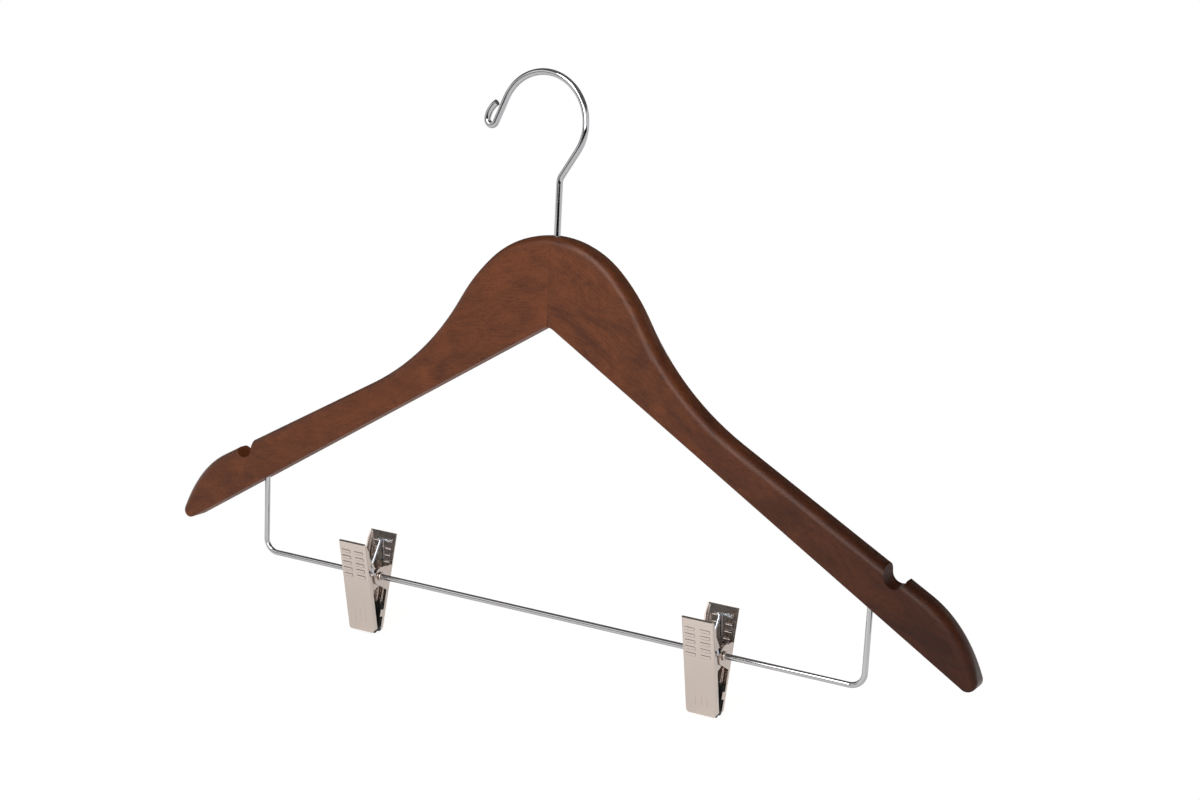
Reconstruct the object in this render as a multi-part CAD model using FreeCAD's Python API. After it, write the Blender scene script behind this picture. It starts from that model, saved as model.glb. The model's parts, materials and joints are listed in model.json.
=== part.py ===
import FreeCAD, Part
import math
import os

V = FreeCAD.Vector
CENTRE = V(0, 0, 0)
ALONG = V(1, 0, 0)
BACK = V(0, 1, 0)
UP = V(0, 0, 1)

# Sizes are in millimetres and angles in degrees. While a piece is being made, x runs along the arms from
# the seam, y is depth with the front at -y, and z is height above the point where the two straight lower
# edges would meet. save() then moves it so that the origin is the point of the hook that sits on the rod.
overrun = 2.0

# Wooden body
overall_width = 445.0
wood_thickness = 12.0
lower_slope_angle = 31.4
apex_radius = 6.0
head_top = 42.0
head_radius = 49.4
head_turn_angle = 43.0
shoulder_radius = 93.5
shoulder_slope_angle = 59.8
neck_radius = 134.0
arm_slope_angle = 28.9
lobe_radius = 53.5
tip_radius = 4.1
top_edge_radius = 4.5
tip_edge_radius = 3.0
lower_edge_radius = 1.0
notch_from_tip = 40.9
notch_radius = 5.0
notch_depth = 6.8

# Comb joint of the two arms: one finger of each arm is let into the other
finger_length = 16.0
finger_thickness = 2.4
finger_wall = 1.2

# Hook and what holds it in the head
hook_wire = 3.2
hook_radius = 22.8
hook_offset = 10.2
hook_centre_height = 94.5
hook_lean_angle = 33.1
hook_bend_radius = 6.0
hook_exit_angle = 24.7
hook_exit_length = 13.2
loop_radius = 2.5
loop_turn_angle = 165.0
loop_closing_radius = 12.0
loop_end_gap = 0.45
hole_play = 0.3
bush_radius = 2.6
bush_length = 12.0
counterbore_radius = 4.0
counterbore_top = 14.0
running_clearance = 0.07
washer_gap = 0.3
washer_thickness = 0.8
washer_play = 0.2
nut_sides = 6
nut_across_flats = 5.6
nut_thickness = 2.6
thread_past_nut = 1.6
plug_gap = 1.3

# Drop bar
bar_wire = 2.8
bar_height = -143.2
leg_from_tip = 52.9
leg_depth = 15.0
bar_bend_radius = 7.0
leg_fit = 0.02

# Clips, hung on the drop bar
clip_places = {"left": -103.9, "right": 91.9}
sheet = 0.7
jaw_width = 16.5
jaw_tilt_angle = 12.3
pivot_to_plate = 10.1
handle_length = 22.0
jaw_length = 28.2
bend_radius = 0.9
ear_radius = 4.7
ear_play = 0.25
joggle_start = 3.0
joggle_length = 1.6
lip_depth = 1.7
plain_flange_depth = 1.6
plain_neck_top = 5.8
plain_neck_bottom = 7.1
set_in_corner_depth = 1.0
set_in_shoulder_angle = 25.0
set_in_neck_bottom = 6.2
lower_flange_depth = 2.8
lug_top = -17.5
lug_bottom = -21.1
lug_depth = 5.2
corner_cut = 1.5

# Embossing of the jaw plates
rib_radius = 1.6
rib_height = 0.35
rib_rows = 5
rib_pitch = 3.35
rib_from_end = 5.1
rib_length = 5.0
rib_side_margin = 1.85
flute_count = 4
flute_pitch = 3.1
flute_top = 1.0
flute_fade = 0.45
flute_from_tip = 4.7

# Hollow rivet of a clip
tube_wall = 0.43
tube_overhang = 0.15
roll_radius = 0.45

# Spring of a clip
spring_wire = 1.3
spring_inner_gap = 0.35
spring_turns = 3
spring_leg_x = 4.0
spring_seat_gap = 0.1
crossbar_from_end = 4.4
crossbar_end = 5.0
spring_bend_radius = 1.5
gap_step = 0.25

# Vinyl pads in the jaw tips
pad_length = 12.7
pad_thickness = 2.3
pad_side_gap = 0.1
bead_from_tip = 0.7
pad_gap = 0.3

# Values that follow from the sizes above
half_width = overall_width / 2
half_thickness = wood_thickness / 2
notch_x = half_width - notch_from_tip
finger_outer = half_thickness - finger_wall
finger_inner = finger_outer - finger_thickness
hook_half = hook_wire / 2
shank_bore = hook_half + running_clearance
washer_radius = counterbore_radius - washer_gap
washer_top = counterbore_top - washer_play
nut_top = washer_top - washer_thickness
hook_foot = nut_top - nut_thickness - thread_past_nut
plug_top = hook_foot - plug_gap
bar_half = bar_wire / 2
leg_x = half_width - leg_from_tip
half_jaw = jaw_width / 2
joggle_end = joggle_start + joggle_length
rib_first = handle_length - rib_from_end - (rib_rows - 1) * rib_pitch
rib_column = half_jaw - rib_side_margin - rib_length / 2
flute_bottom = flute_from_tip - jaw_length
tube_bore = bar_half + running_clearance
tube_radius = tube_bore + tube_wall
ear_hole = tube_radius + running_clearance
set_in = sheet + ear_play
spring_half = spring_wire / 2
coil_radius = tube_radius + spring_inner_gap + spring_half
crossbar_height = handle_length - crossbar_from_end
bead_height = bead_from_tip - jaw_length
pad_top = bead_height + pad_length
saddle_height = hook_centre_height + hook_radius - hook_half
to_frame = V(hook_offset, 0, -saddle_height)

os.makedirs("parts", exist_ok=True)


def save(name, shape):
    placed = shape.copy()
    placed.translate(to_frame)
    placed.exportStep(os.path.join("parts", name + ".step"))


def front_view(a, b):
    return V(a, 0, b)


def top_view(a, b):
    return V(a, b, 0)


class Pen:
    """Draws straight runs and tangent arcs in one plane, optionally beside the path at a steady offset."""

    def __init__(self, a, b, heading, plane=front_view, offset=0):
        self.heading = math.radians(heading)
        self.plane = plane
        self.offset = offset
        self.a = a - offset * math.sin(self.heading)
        self.b = b + offset * math.cos(self.heading)
        self.edges = []

    def point(self):
        return self.plane(self.a, self.b)

    def line(self, length):
        start = self.point()
        self.a += length * math.cos(self.heading)
        self.b += length * math.sin(self.heading)
        self.edges.append(Part.LineSegment(start, self.point()).toShape())

    def arc(self, radius, turn):
        """Turn by an angle, to the left where it is positive."""
        side = math.copysign(1, turn)
        reach = radius - side * self.offset
        start = self.point()
        centre_a = self.a - side * reach * math.sin(self.heading)
        centre_b = self.b + side * reach * math.cos(self.heading)
        spots = []
        for share in (0.5, 1):
            angle = self.heading + math.radians(turn) * share
            self.a = centre_a + side * reach * math.sin(angle)
            self.b = centre_b - side * reach * math.cos(angle)
            spots.append(self.point())
        self.heading = angle
        self.edges.append(Part.Arc(start, *spots).toShape())


def rod(radius, start, end):
    return Part.makeCylinder(radius, (end - start).Length, start, end - start)


def upright(radius, bottom, top):
    return rod(radius, V(0, 0, bottom), V(0, 0, top))


def crosswise(radius, reach, y=0, z=0):
    return rod(radius, V(-reach, y, z), V(reach, y, z))


def block(x0, x1, y0, y1, z0, z1):
    return Part.makeBox(x1 - x0, y1 - y0, z1 - z0, V(x0, y0, z0))


def ring(outer, inner, bottom, top):
    return upright(outer, bottom, top).cut(upright(inner, bottom - overrun, top + overrun))


def wire_sweep(name, edges, radius, start, heading):
    """A round wire along straight runs and arcs, with its volume compared with section times length."""
    path = Part.Wire(edges)
    section = Part.Wire(Part.makeCircle(radius, start, heading))
    solid = path.makePipeShell([section], True, False)
    print(name, "volume over section times length", solid.Volume / (math.pi * radius ** 2 * path.Length))
    return solid


def head_outline():
    """Top of the head from the seam to the end of the neck, where the arm's straight top edge begins."""
    pen = Pen(0, head_top, 0)
    pen.arc(head_radius, -head_turn_angle)
    pen.arc(shoulder_radius, head_turn_angle - shoulder_slope_angle)
    pen.arc(neck_radius, shoulder_slope_angle - arm_slope_angle)
    return pen


def half_body():
    """The wood on the right of the seam, with its edges rounded."""
    lower = math.radians(lower_slope_angle)
    arm = math.radians(arm_slope_angle)
    pen = head_outline()
    # The lobe's arc touches the arm's straight top edge and the tip's arc inside it
    tip_x = half_width - tip_radius
    tip_z = tip_radius / math.cos(lower) - tip_x * math.tan(lower)
    step_x = tip_x - pen.a
    step_z = tip_z - pen.b
    ahead = step_x * math.cos(arm) - step_z * math.sin(arm)
    below = -step_x * math.sin(arm) - step_z * math.cos(arm)
    reach = math.sqrt((lobe_radius - tip_radius) ** 2 - (lobe_radius - below) ** 2)
    lobe_turn = math.degrees(math.atan2(reach, lobe_radius - below))
    pen.line(ahead - reach)
    pen.arc(lobe_radius, -lobe_turn)
    pen.arc(tip_radius, lobe_turn + arm_slope_angle - lower_slope_angle - 180)
    pen.line(math.hypot(pen.a, pen.b) - apex_radius * math.tan(lower))
    pen.arc(apex_radius, lower_slope_angle)
    seam = Part.LineSegment(pen.point(), front_view(0, head_top)).toShape()
    face = Part.Face(Part.Wire(pen.edges + [seam]))
    face.translate(BACK * -half_thickness)
    solid = face.extrude(BACK * wood_thickness)
    return round_edges(solid, V(tip_x, 0, tip_z))


def round_edges(solid, tip):
    """Round the long edges, broadly along the top and slightly along the bottom, fading round the tip."""
    slope = math.tan(math.radians(lower_slope_angle))
    near = lower_edge_radius / 2
    rounds = []
    for number, edge in enumerate(solid.Edges, start=1):
        spot = edge.valueAt((edge.FirstParameter + edge.LastParameter) / 2)
        if abs(spot.x) < near or abs(spot.y) < half_thickness - near:
            continue
        radii = []
        for end in (edge.FirstParameter, edge.LastParameter):
            place = edge.valueAt(end)
            if place.z < near - slope * place.x:
                radii.append(lower_edge_radius)
            elif math.hypot(place.x - tip.x, place.z - tip.z) < tip_radius + near:
                radii.append(tip_edge_radius)
            else:
                radii.append(top_edge_radius)
        rounds.append((number, radii[0], radii[1]))
    document = FreeCAD.newDocument("rounding")
    base = document.addObject("Part::Feature", "base")
    base.Shape = solid
    rounded = document.addObject("Part::Fillet", "rounded")
    rounded.Base = base
    rounded.Edges = rounds
    document.recompute()
    return rounded.Shape.Solids[0]


def mirror_half(shape):
    return shape.mirror(CENTRE, ALONG)


def arm_top(x):
    """Height of the arm's straight top edge, also where the lobe or the notch has left it."""
    pen = head_outline()
    return pen.b - (x - pen.a) * math.tan(math.radians(arm_slope_angle))


def notch_cutter():
    floor = arm_top(notch_x) - notch_depth
    centre = floor + notch_radius
    depth = half_thickness + overrun
    bottom = rod(notch_radius, V(notch_x, -depth, centre), V(notch_x, depth, centre))
    rise = arm_top(notch_x - notch_radius) + top_edge_radius + overrun
    slot = block(notch_x - notch_radius, notch_x + notch_radius, -depth, depth, centre, rise)
    return bottom.fuse(slot)


def hook_bores():
    """Hole for the shank, seat for its bush, and counterbore for the nut."""
    bush_top = counterbore_top + bush_length
    hole = upright(hook_half + hole_play, bush_top, head_top + overrun)
    seat = upright(bush_radius, counterbore_top, bush_top)
    counterbore = upright(counterbore_radius, -apex_radius, counterbore_top)
    return hole.fuse([seat, counterbore])


def leg_top():
    return -leg_x * math.tan(math.radians(lower_slope_angle)) + leg_depth


def right_arm(half):
    left_half = mirror_half(half)
    low = -overall_width
    high = head_top + overrun
    finger = left_half.common(block(-finger_length, 0, finger_inner, finger_outer, low, high))
    socket = block(0, finger_length, -finger_outer, -finger_inner, low, high)
    leg_hole = rod(bar_half + leg_fit, V(leg_x, 0, bar_height), V(leg_x, 0, leg_top()))
    wood = half.fuse(finger).removeSplitter()
    return wood.cut([socket, hook_bores(), notch_cutter(), leg_hole])


def hook():
    lean = math.radians(hook_lean_angle)
    tangent_x = hook_radius * math.cos(lean) - hook_offset
    tangent_z = hook_centre_height - hook_radius * math.sin(lean)
    slant = tangent_x / math.sin(lean)
    corner_z = tangent_z - slant * math.cos(lean)
    setback = hook_bend_radius * math.tan(lean / 2)
    # The eye's free side curves back until its end stands a small gap from the wire
    turned = math.radians(loop_turn_angle)
    spare = loop_radius * (1 - math.cos(turned)) - hook_wire - loop_end_gap
    closed = 2 * math.pi - math.acos(math.cos(turned) + spare / loop_closing_radius)
    pen = Pen(0, hook_foot, 90)
    pen.line(corner_z - setback - hook_foot)
    pen.arc(hook_bend_radius, -hook_lean_angle)
    pen.line(slant - setback)
    pen.arc(hook_radius, 180 + hook_lean_angle - hook_exit_angle)
    pen.line(hook_exit_length)
    pen.arc(loop_radius, -loop_turn_angle)
    pen.arc(loop_closing_radius, loop_turn_angle - math.degrees(closed))
    return wire_sweep("hook", pen.edges, hook_half, V(0, 0, hook_foot), UP)


def hook_nut():
    corner = nut_across_flats / 2 / math.cos(math.pi / nut_sides)
    points = []
    for side in range(nut_sides + 1):
        angle = 2 * math.pi * side / nut_sides
        points.append(V(corner * math.cos(angle), corner * math.sin(angle), nut_top - nut_thickness))
    body = Part.Face(Part.makePolygon(points)).extrude(UP * nut_thickness)
    return body.cut(upright(hook_half, nut_top - nut_thickness - overrun, nut_top + overrun))


def drop_bar():
    pen = Pen(-leg_x, leg_top(), -90)
    drop = leg_top() - bar_height - bar_bend_radius
    pen.line(drop)
    pen.arc(bar_bend_radius, 90)
    pen.line(2 * (leg_x - bar_bend_radius))
    pen.arc(bar_bend_radius, 90)
    pen.line(drop)
    return wire_sweep("drop bar", pen.edges, bar_half, V(-leg_x, 0, leg_top()), UP)


def channel_section():
    """The jaw's channel in top view: a straight flange, the plate, and a flange set in by a joggle."""
    joggle = math.degrees(math.atan2(set_in, joggle_end - joggle_start))
    slant = math.hypot(set_in, joggle_end - joggle_start)
    ease = bend_radius * math.tan(math.radians(joggle) / 2)
    reach = pivot_to_plate + ear_radius + overrun
    middle = sheet / 2
    sides = []
    for offset in (middle, -middle):
        pen = Pen(half_jaw - middle, pivot_to_plate - reach, 90, top_view, offset)
        pen.line(reach - middle - bend_radius)
        pen.arc(bend_radius, 90)
        pen.line(jaw_width - sheet - 2 * bend_radius)
        pen.arc(bend_radius, 90)
        pen.line(joggle_start - middle - bend_radius - ease)
        pen.arc(bend_radius, joggle)
        pen.line(slant - 2 * ease)
        pen.arc(bend_radius, -joggle)
        pen.line(reach - joggle_end - ease)
        sides.append(pen)
    caps = []
    for end in (0, -1):
        spots = [pen.edges[end].Vertexes[end].Point for pen in sides]
        caps.append(Part.LineSegment(*spots).toShape())
    return Part.Face(Part.Wire(sides[0].edges + [caps[1]] + sides[1].edges[::-1] + [caps[0]]))


def side_prism(profile, x0, x1):
    """Prism across the clip, from points that are a height and a depth in from the plate's outer face."""
    points = [V(x0, pivot_to_plate - depth, height) for height, depth in profile]
    return Part.Face(Part.makePolygon(points + points[:1])).extrude(ALONG * (x1 - x0))


def plain_side():
    profile = [
        (handle_length, -overrun),
        (handle_length, plain_flange_depth),
        (plain_neck_top, plain_flange_depth),
        (ear_radius, pivot_to_plate),
        (-ear_radius, pivot_to_plate),
        (-plain_neck_bottom, lower_flange_depth),
        (-jaw_length, lower_flange_depth),
        (-jaw_length, -overrun),
    ]
    lug = [(lug_top, 0), (lug_top, lug_depth), (lug_bottom, lug_depth), (lug_bottom, 0)]
    width = half_jaw + overrun
    ear = rod(ear_radius, CENTRE, ALONG * width)
    return side_prism(profile, 0, width).fuse([side_prism(lug, 0, width), ear])


def set_in_side():
    shoulder = math.radians(set_in_shoulder_angle)
    profile = [
        (handle_length, -overrun),
        (handle_length, set_in_corner_depth),
        (ear_radius * math.cos(shoulder), pivot_to_plate - ear_radius * math.sin(shoulder)),
        (0, pivot_to_plate),
        (-ear_radius, pivot_to_plate),
        (-set_in_neck_bottom, lower_flange_depth),
        (-jaw_length, lower_flange_depth),
        (-jaw_length, -overrun),
    ]
    width = half_jaw + overrun
    ear = rod(ear_radius, CENTRE, ALONG * -width)
    return side_prism(profile, -width, 0).fuse(ear)


def emboss(plate):
    """Press out the grip ribs, and flutes that fade towards the ribs, hollow on the inside."""
    axis = pivot_to_plate - rib_radius + rib_height
    raised = []
    hollows = []
    runs = []
    for row in range(rib_rows):
        height = rib_first + row * rib_pitch
        for side in (-1, 1):
            middle = side * rib_column
            half = ALONG * (rib_length / 2)
            spot = V(middle, axis, height)
            runs.append((spot - half, spot + half))
    for number in range(flute_count):
        x = (number - (flute_count - 1) / 2) * flute_pitch
        runs.append((V(x, axis, flute_bottom), V(x, axis - flute_fade, flute_top)))
    for start, end in runs:
        inset = (end - start).normalize() * sheet
        raised.append(rod(rib_radius, start, end))
        hollows.append(rod(rib_radius - sheet, start + inset, end - inset))
    inside = pivot_to_plate - sheet
    outside = pivot_to_plate + overrun
    outer_layer = block(-half_jaw, half_jaw, inside, outside, -jaw_length, handle_length)
    ribs = Part.makeCompound(raised).common(outer_layer)
    return plate.fuse(ribs.Solids).cut(hollows)


def jaw():
    """One pressed jaw, made with its plate upright behind the pivot and then leaned back."""
    length = handle_length + jaw_length
    channel = channel_section().extrude(UP * length)
    channel.translate(UP * -jaw_length)
    pressing = channel.common(plain_side()).fuse(channel.common(set_in_side())).removeSplitter()
    lip_half = half_jaw - sheet
    lip_inner = pivot_to_plate - lip_depth
    lip_outer = pivot_to_plate - sheet
    lip = block(-lip_half, lip_half, lip_inner, lip_outer, handle_length - sheet, handle_length)
    pressing = emboss(pressing.fuse(lip))
    cuts = [crosswise(ear_hole, jaw_width)]
    for side in (-1, 1):
        corner = V(side * half_jaw, 0, -jaw_length)
        triangle = [corner, corner - ALONG * side * corner_cut, corner + UP * corner_cut, corner]
        cuts.append(Part.Face(Part.makePolygon(triangle)).extrude(BACK * (pivot_to_plate + overrun)))
    pressing = pressing.cut(cuts).removeSplitter()
    return lean_back(pressing)


def lean_back(shape):
    leaned = shape.copy()
    leaned.rotate(CENTRE, ALONG, -jaw_tilt_angle)
    return leaned


def turn_round(shape):
    turned = shape.copy()
    turned.rotate(CENTRE, UP, 180)
    return turned


def pad():
    """Vinyl pad against the inside of a jaw tip, with the rolled bead that grips."""
    tilt = math.radians(jaw_tilt_angle)
    inside = pivot_to_plate - sheet
    level = inside * math.cos(tilt) + bead_height * math.sin(tilt)
    bead_radius = (level - pad_gap / 2) / (1 + math.cos(tilt))
    half = half_jaw - sheet - pad_side_gap
    slab = block(-half, half, inside - pad_thickness, inside, bead_height, pad_top)
    length = pad_top - bead_height
    uprights = [edge for edge in slab.Edges if abs(edge.Length - length) < pad_side_gap]
    corners = [edge for edge in uprights if edge.CenterOfMass.y > inside - bend_radius]
    slab = slab.makeFillet(bend_radius, corners)
    bead = crosswise(bead_radius, half, inside - bead_radius, bead_height)
    return lean_back(slab.fuse(bead).removeSplitter())


def pivot_tube():
    """Hollow rivet: a tube with both ends rolled outward against the ears."""
    end = half_jaw + tube_overhang + roll_radius
    tube = crosswise(tube_radius, end)
    rolls = []
    for side in (-1, 1):
        rolls.append(Part.makeTorus(tube_radius, roll_radius, ALONG * side * end, ALONG))
    return tube.fuse(rolls).cut(crosswise(tube_bore, end + overrun)).removeSplitter()


def biarc(start, start_way, end, end_way):
    """Two arcs that meet smoothly and leave and arrive along the given ways."""
    chord = end - start
    ways = start_way + end_way
    spread = 1 - start_way.dot(end_way)
    root = math.sqrt(chord.dot(ways) ** 2 + 2 * spread * chord.dot(chord))
    handle = (root - chord.dot(ways)) / (2 * spread)
    first = start + start_way * handle
    second = end - end_way * handle
    joint = (first + second) / 2
    edges = []
    for tail, corner, head in ((start, first, joint), (joint, second, end)):
        middle = (tail + head) / 2
        rise = (corner - middle).Length
        half_chord = (head - middle).Length
        half_turn = math.atan2(rise, half_chord)
        sagitta = half_chord * math.tan(half_turn / 2)
        crown = middle + (corner - middle).normalize() * sagitta
        edges.append(Part.Arc(tail, crown, head).toShape())
    return edges


def spring_path():
    """Crossbar, leg, coil, leg and crossbar of the torsion spring, about the clip's pivot."""
    tilt = math.radians(jaw_tilt_angle)
    out = pivot_to_plate - sheet - spring_half - spring_seat_gap
    seat_y = out * math.cos(tilt) + crossbar_height * math.sin(tilt)
    seat_z = crossbar_height * math.cos(tilt) - out * math.sin(tilt)
    touch = math.atan2(seat_z, seat_y) - math.acos(coil_radius / math.hypot(seat_y, seat_z))
    sweep = math.pi + 2 * touch + 2 * math.pi * spring_turns
    advance = 2 * spring_leg_x / sweep
    steps = round(sweep / math.pi)
    nodes = []
    for step in range(steps + 1):
        passed = sweep * step / steps
        angle = touch - passed
        slide = 0 if step in (0, steps) else advance
        along_y = coil_radius * math.cos(angle)
        along_z = coil_radius * math.sin(angle)
        spot = V(advance * passed - spring_leg_x, along_y, along_z)
        way = V(slide, along_z, -along_y).normalize()
        nodes.append((spot, way))
    coil = []
    for (spot, way), (next_spot, next_way) in zip(nodes, nodes[1:]):
        coil += biarc(spot, way, next_spot, next_way)
    corner = V(-spring_leg_x, seat_y, seat_z)
    down = nodes[0][1]
    tip = V(crossbar_end, seat_y, seat_z)
    bar_stop = corner + ALONG * spring_bend_radius
    leg_start = corner + down * spring_bend_radius
    bend_centre = bar_stop + down * spring_bend_radius
    crown = bend_centre + (corner - bend_centre).normalize() * spring_bend_radius
    arm = [
        Part.LineSegment(tip, bar_stop).toShape(),
        Part.Arc(bar_stop, crown, leg_start).toShape(),
        Part.LineSegment(leg_start, nodes[0][0]).toShape(),
    ]
    return arm + coil + [turn_round(edge) for edge in reversed(arm)], tip


def spring():
    edges, tip = spring_path()
    path = Part.Wire(edges)
    section = Part.Wire(Part.makeCircle(spring_half, tip, ALONG))
    solid = path.makePipeShell([section], True, False)
    swept = math.pi * spring_half ** 2 * path.Length
    print("spring volume over section times length", solid.Volume / swept)
    spots = path.discretize(Distance=gap_step)
    apart = round(math.pi * spring_wire / gap_step)
    gaps = []
    for number, spot in enumerate(spots):
        gaps += [spot.distanceToPoint(other) for other in spots[number + apart:]]
    print("spring least gap to itself", min(gaps) - spring_wire)
    return solid


half = half_body()
arm = right_arm(half)
save("right_arm", arm)
save("left_arm", turn_round(arm))
save("hook", hook())
save("hook_bush", ring(bush_radius, shank_bore, counterbore_top, counterbore_top + bush_length))
save("hook_washer", ring(washer_radius, shank_bore, nut_top, washer_top))
save("hook_nut", hook_nut())
plug_blank = upright(counterbore_radius, -apex_radius, plug_top)
save("head_plug", plug_blank.common(half.fuse(mirror_half(half)).removeSplitter()))
save("drop_bar", drop_bar())
back_jaw = jaw()
back_pad = pad()
pieces = {
    "back_jaw": back_jaw,
    "front_jaw": turn_round(back_jaw),
    "back_pad": back_pad,
    "front_pad": turn_round(back_pad),
    "pivot_tube": pivot_tube(),
    "spring": spring(),
}
for side, place in clip_places.items():
    for name, shape in pieces.items():
        hung = shape.copy()
        hung.translate(V(place, 0, bar_height))
        save(side + "_" + name, hung)
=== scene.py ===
import json
import math
from typing import NamedTuple

import bmesh
import bpy
from mathutils import Matrix, Vector


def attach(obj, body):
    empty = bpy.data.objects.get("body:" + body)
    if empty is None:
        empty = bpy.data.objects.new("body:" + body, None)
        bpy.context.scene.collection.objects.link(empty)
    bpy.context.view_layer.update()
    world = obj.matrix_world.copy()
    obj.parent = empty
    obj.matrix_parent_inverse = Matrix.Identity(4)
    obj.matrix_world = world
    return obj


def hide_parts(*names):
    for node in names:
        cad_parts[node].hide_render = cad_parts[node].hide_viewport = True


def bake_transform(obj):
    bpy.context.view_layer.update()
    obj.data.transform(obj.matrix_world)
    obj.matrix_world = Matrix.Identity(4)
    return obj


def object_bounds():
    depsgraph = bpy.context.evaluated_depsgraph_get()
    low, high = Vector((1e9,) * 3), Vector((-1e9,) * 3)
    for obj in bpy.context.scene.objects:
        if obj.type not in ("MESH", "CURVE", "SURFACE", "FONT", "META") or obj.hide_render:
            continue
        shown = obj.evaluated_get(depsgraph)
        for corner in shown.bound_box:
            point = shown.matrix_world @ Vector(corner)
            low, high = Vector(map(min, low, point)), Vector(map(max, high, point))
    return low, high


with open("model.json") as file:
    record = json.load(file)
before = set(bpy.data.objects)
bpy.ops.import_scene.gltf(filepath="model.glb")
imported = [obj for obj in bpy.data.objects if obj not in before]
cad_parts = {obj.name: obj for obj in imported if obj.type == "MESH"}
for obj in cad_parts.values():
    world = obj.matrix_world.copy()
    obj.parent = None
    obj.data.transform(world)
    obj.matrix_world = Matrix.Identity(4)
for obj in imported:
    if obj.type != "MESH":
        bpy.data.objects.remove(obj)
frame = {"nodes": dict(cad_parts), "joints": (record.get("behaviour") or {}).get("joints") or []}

bl_info = {
    "name": "Skirt Hanger",
    "version": (1, 0, 0),
    "blender": (4, 5, 0),
    "location": "3D View > Sidebar > Hanger",
    "description": "Finishes a wooden skirt hanger with a swivel hook, a bar and two spring clips",
    "category": "Object",
}

CAD_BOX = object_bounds()
MM = 0.001
SIDES = ("left", "right")
JOINTS = {joint["name"]: joint for joint in frame["joints"]}
SEAM_X = JOINTS["hook_swivel"]["pos_m"][0]

# Sides and steps of the meshes
WIRE_SIDES = 20
BEND_STEPS = 8
COIL_STEPS = 120
EDGE_STEPS = 3
BEAD_SIDES = 32

# Colour sockets of a Mix node, which share their names with its other kinds of socket
MIX_A, MIX_B, MIX_RESULT = 6, 7, 2
WHITE = (1, 1, 1, 1)

# Factors on a metal's roughness under its thinnest and its thickest haze
HAZE_LEAST, HAZE_MOST = 0.6, 1.6


class Screen(NamedTuple):
    """Face of a lamp or of a soft box: its sizes, its place and the point it faces, in metres."""

    name: str
    width: float
    height: float
    place: tuple
    aim: tuple


class Card(NamedTuple):
    """A dull card out of the picture. Sizes and place are in metres, the place above the floor.

    The place is turned to the camera's side of the hanger (1), or as far to the other side (-1).
    """

    name: str
    tone: str
    width: float
    height: float
    place: tuple
    side: int
    upright: bool
    shades: bool


LAMPS = (
    Screen("key_lamp", 0.5, 0.6, (0.12, -0.68, 0.17), (0.03, 0, -0.14)),
    Screen("back_lamp", 0.6, 0.4, (0.3, 0.9, -0.05), (0, 0, -0.15)),
)
SOFT_BOXES = (
    Screen("soft_box", 0.34, 0.5, (-0.04, -0.6, 0.36), (0.03, 0, -0.1)),
    Screen("low_box", 0.4, 0.3, (0.12, -0.7, 0.04), (0.03, 0, -0.1)),
    Screen("fill_box", 0.5, 0.5, (-0.5, -0.6, 0.42), (0.03, 0, -0.1)),
)
CARDS = (
    Card("card_in_front", "black_card", 2.4, 2.28, (0, -1.86, 0.002), 1, False, False),
    Card("card_above", "grey_card", 3, 2.8, (0, 0.1, 0.842), 1, False, True),
    Card("card_behind", "black_card", 7, 0.5, (0, 1.5, 0.592), 1, True, False),
    Card("card_beside", "grey_card", 0.8, 0.4, (-0.0192, -1.4424, 0.262), -1, True, False),
)


def linear(code):
    """Linear colour of an sRGB hex value."""
    shares = [int(code[start:start + 2], 16) / 255 for start in (0, 2, 4)]
    return [share / 12.92 if share <= 0.04045 else ((share + 0.055) / 1.055) ** 2.4
            for share in shares]


def opaque(rgb):
    """A colour with its alpha, as a colour socket takes it."""
    return (*rgb, 1)


def colour(name, description, code):
    """A colour that a user may change, given as an sRGB hex value."""
    return bpy.props.FloatVectorProperty(
        name=name, description=description, subtype="COLOR", size=3, min=0, max=1,
        default=linear(code))


def length(name, description, size):
    """A length that a user may change, given in millimetres."""
    return bpy.props.FloatProperty(
        name=name, description=description, unit="LENGTH", default=size * MM)


def angle(name, description, degrees):
    """An angle that a user may change, given in degrees."""
    return bpy.props.FloatProperty(
        name=name, description=description, subtype="ANGLE", default=math.radians(degrees))


def share(name, description, value):
    """A share from 0 to 1 that a user may change."""
    return bpy.props.FloatProperty(
        name=name, description=description, subtype="FACTOR", min=0, max=1, default=value)


def power(name, description, watts):
    """The power of a lamp that a user may change."""
    return bpy.props.FloatProperty(
        name=name, description=description, unit="POWER", min=0, default=watts)


def strength(name, description, value):
    """The strength of a glowing surface that a user may change, where 1 is white."""
    return bpy.props.FloatProperty(name=name, description=description, min=0, default=value)


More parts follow.
